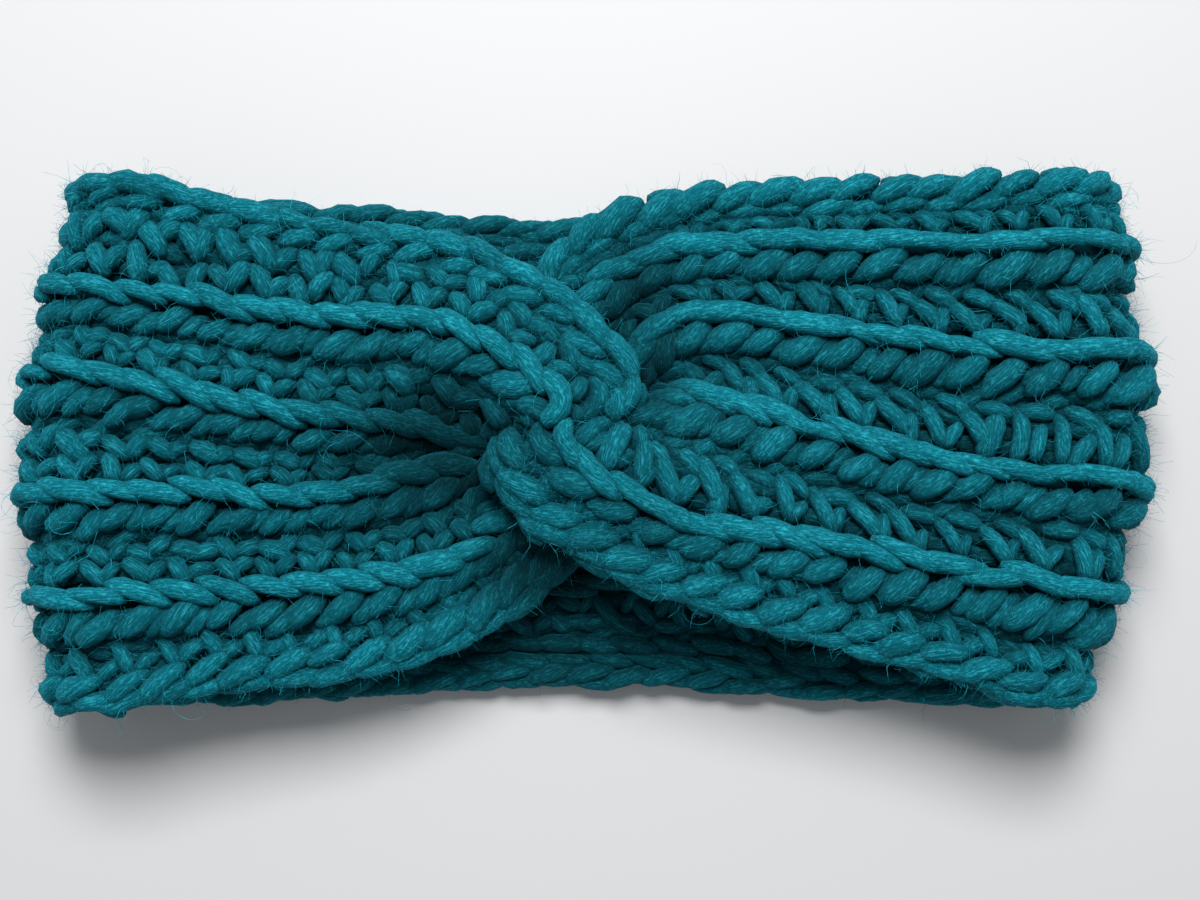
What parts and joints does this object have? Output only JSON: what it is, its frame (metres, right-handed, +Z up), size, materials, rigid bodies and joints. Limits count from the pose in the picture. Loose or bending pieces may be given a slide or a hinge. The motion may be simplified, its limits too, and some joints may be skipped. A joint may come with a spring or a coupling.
{
  "type": "knitted ear warmer headband",
  "caption": "Chunky ribbed wool ear warmer headband, lying flat as a loop, with a crossed twist at the middle of its front.",
  "frame": {"origin": "on the surface that the flat band lies on, under the middle of its outline", "axes": "+X along the band towards its right fold, +Y towards its upper edge, +Z up from the surface, out of the twisted front"},
  "size_m": [0.2378, 0.1098, 0.0386],
  "materials": {
    "wool": "matt, fuzzy single-ply roving",
    "seam_yarn": "matt"
  },
  "bodies": {
    "root": {"ribbed_band": "wool", "twist_seam": "seam_yarn"}
  },
  "joints": []
}
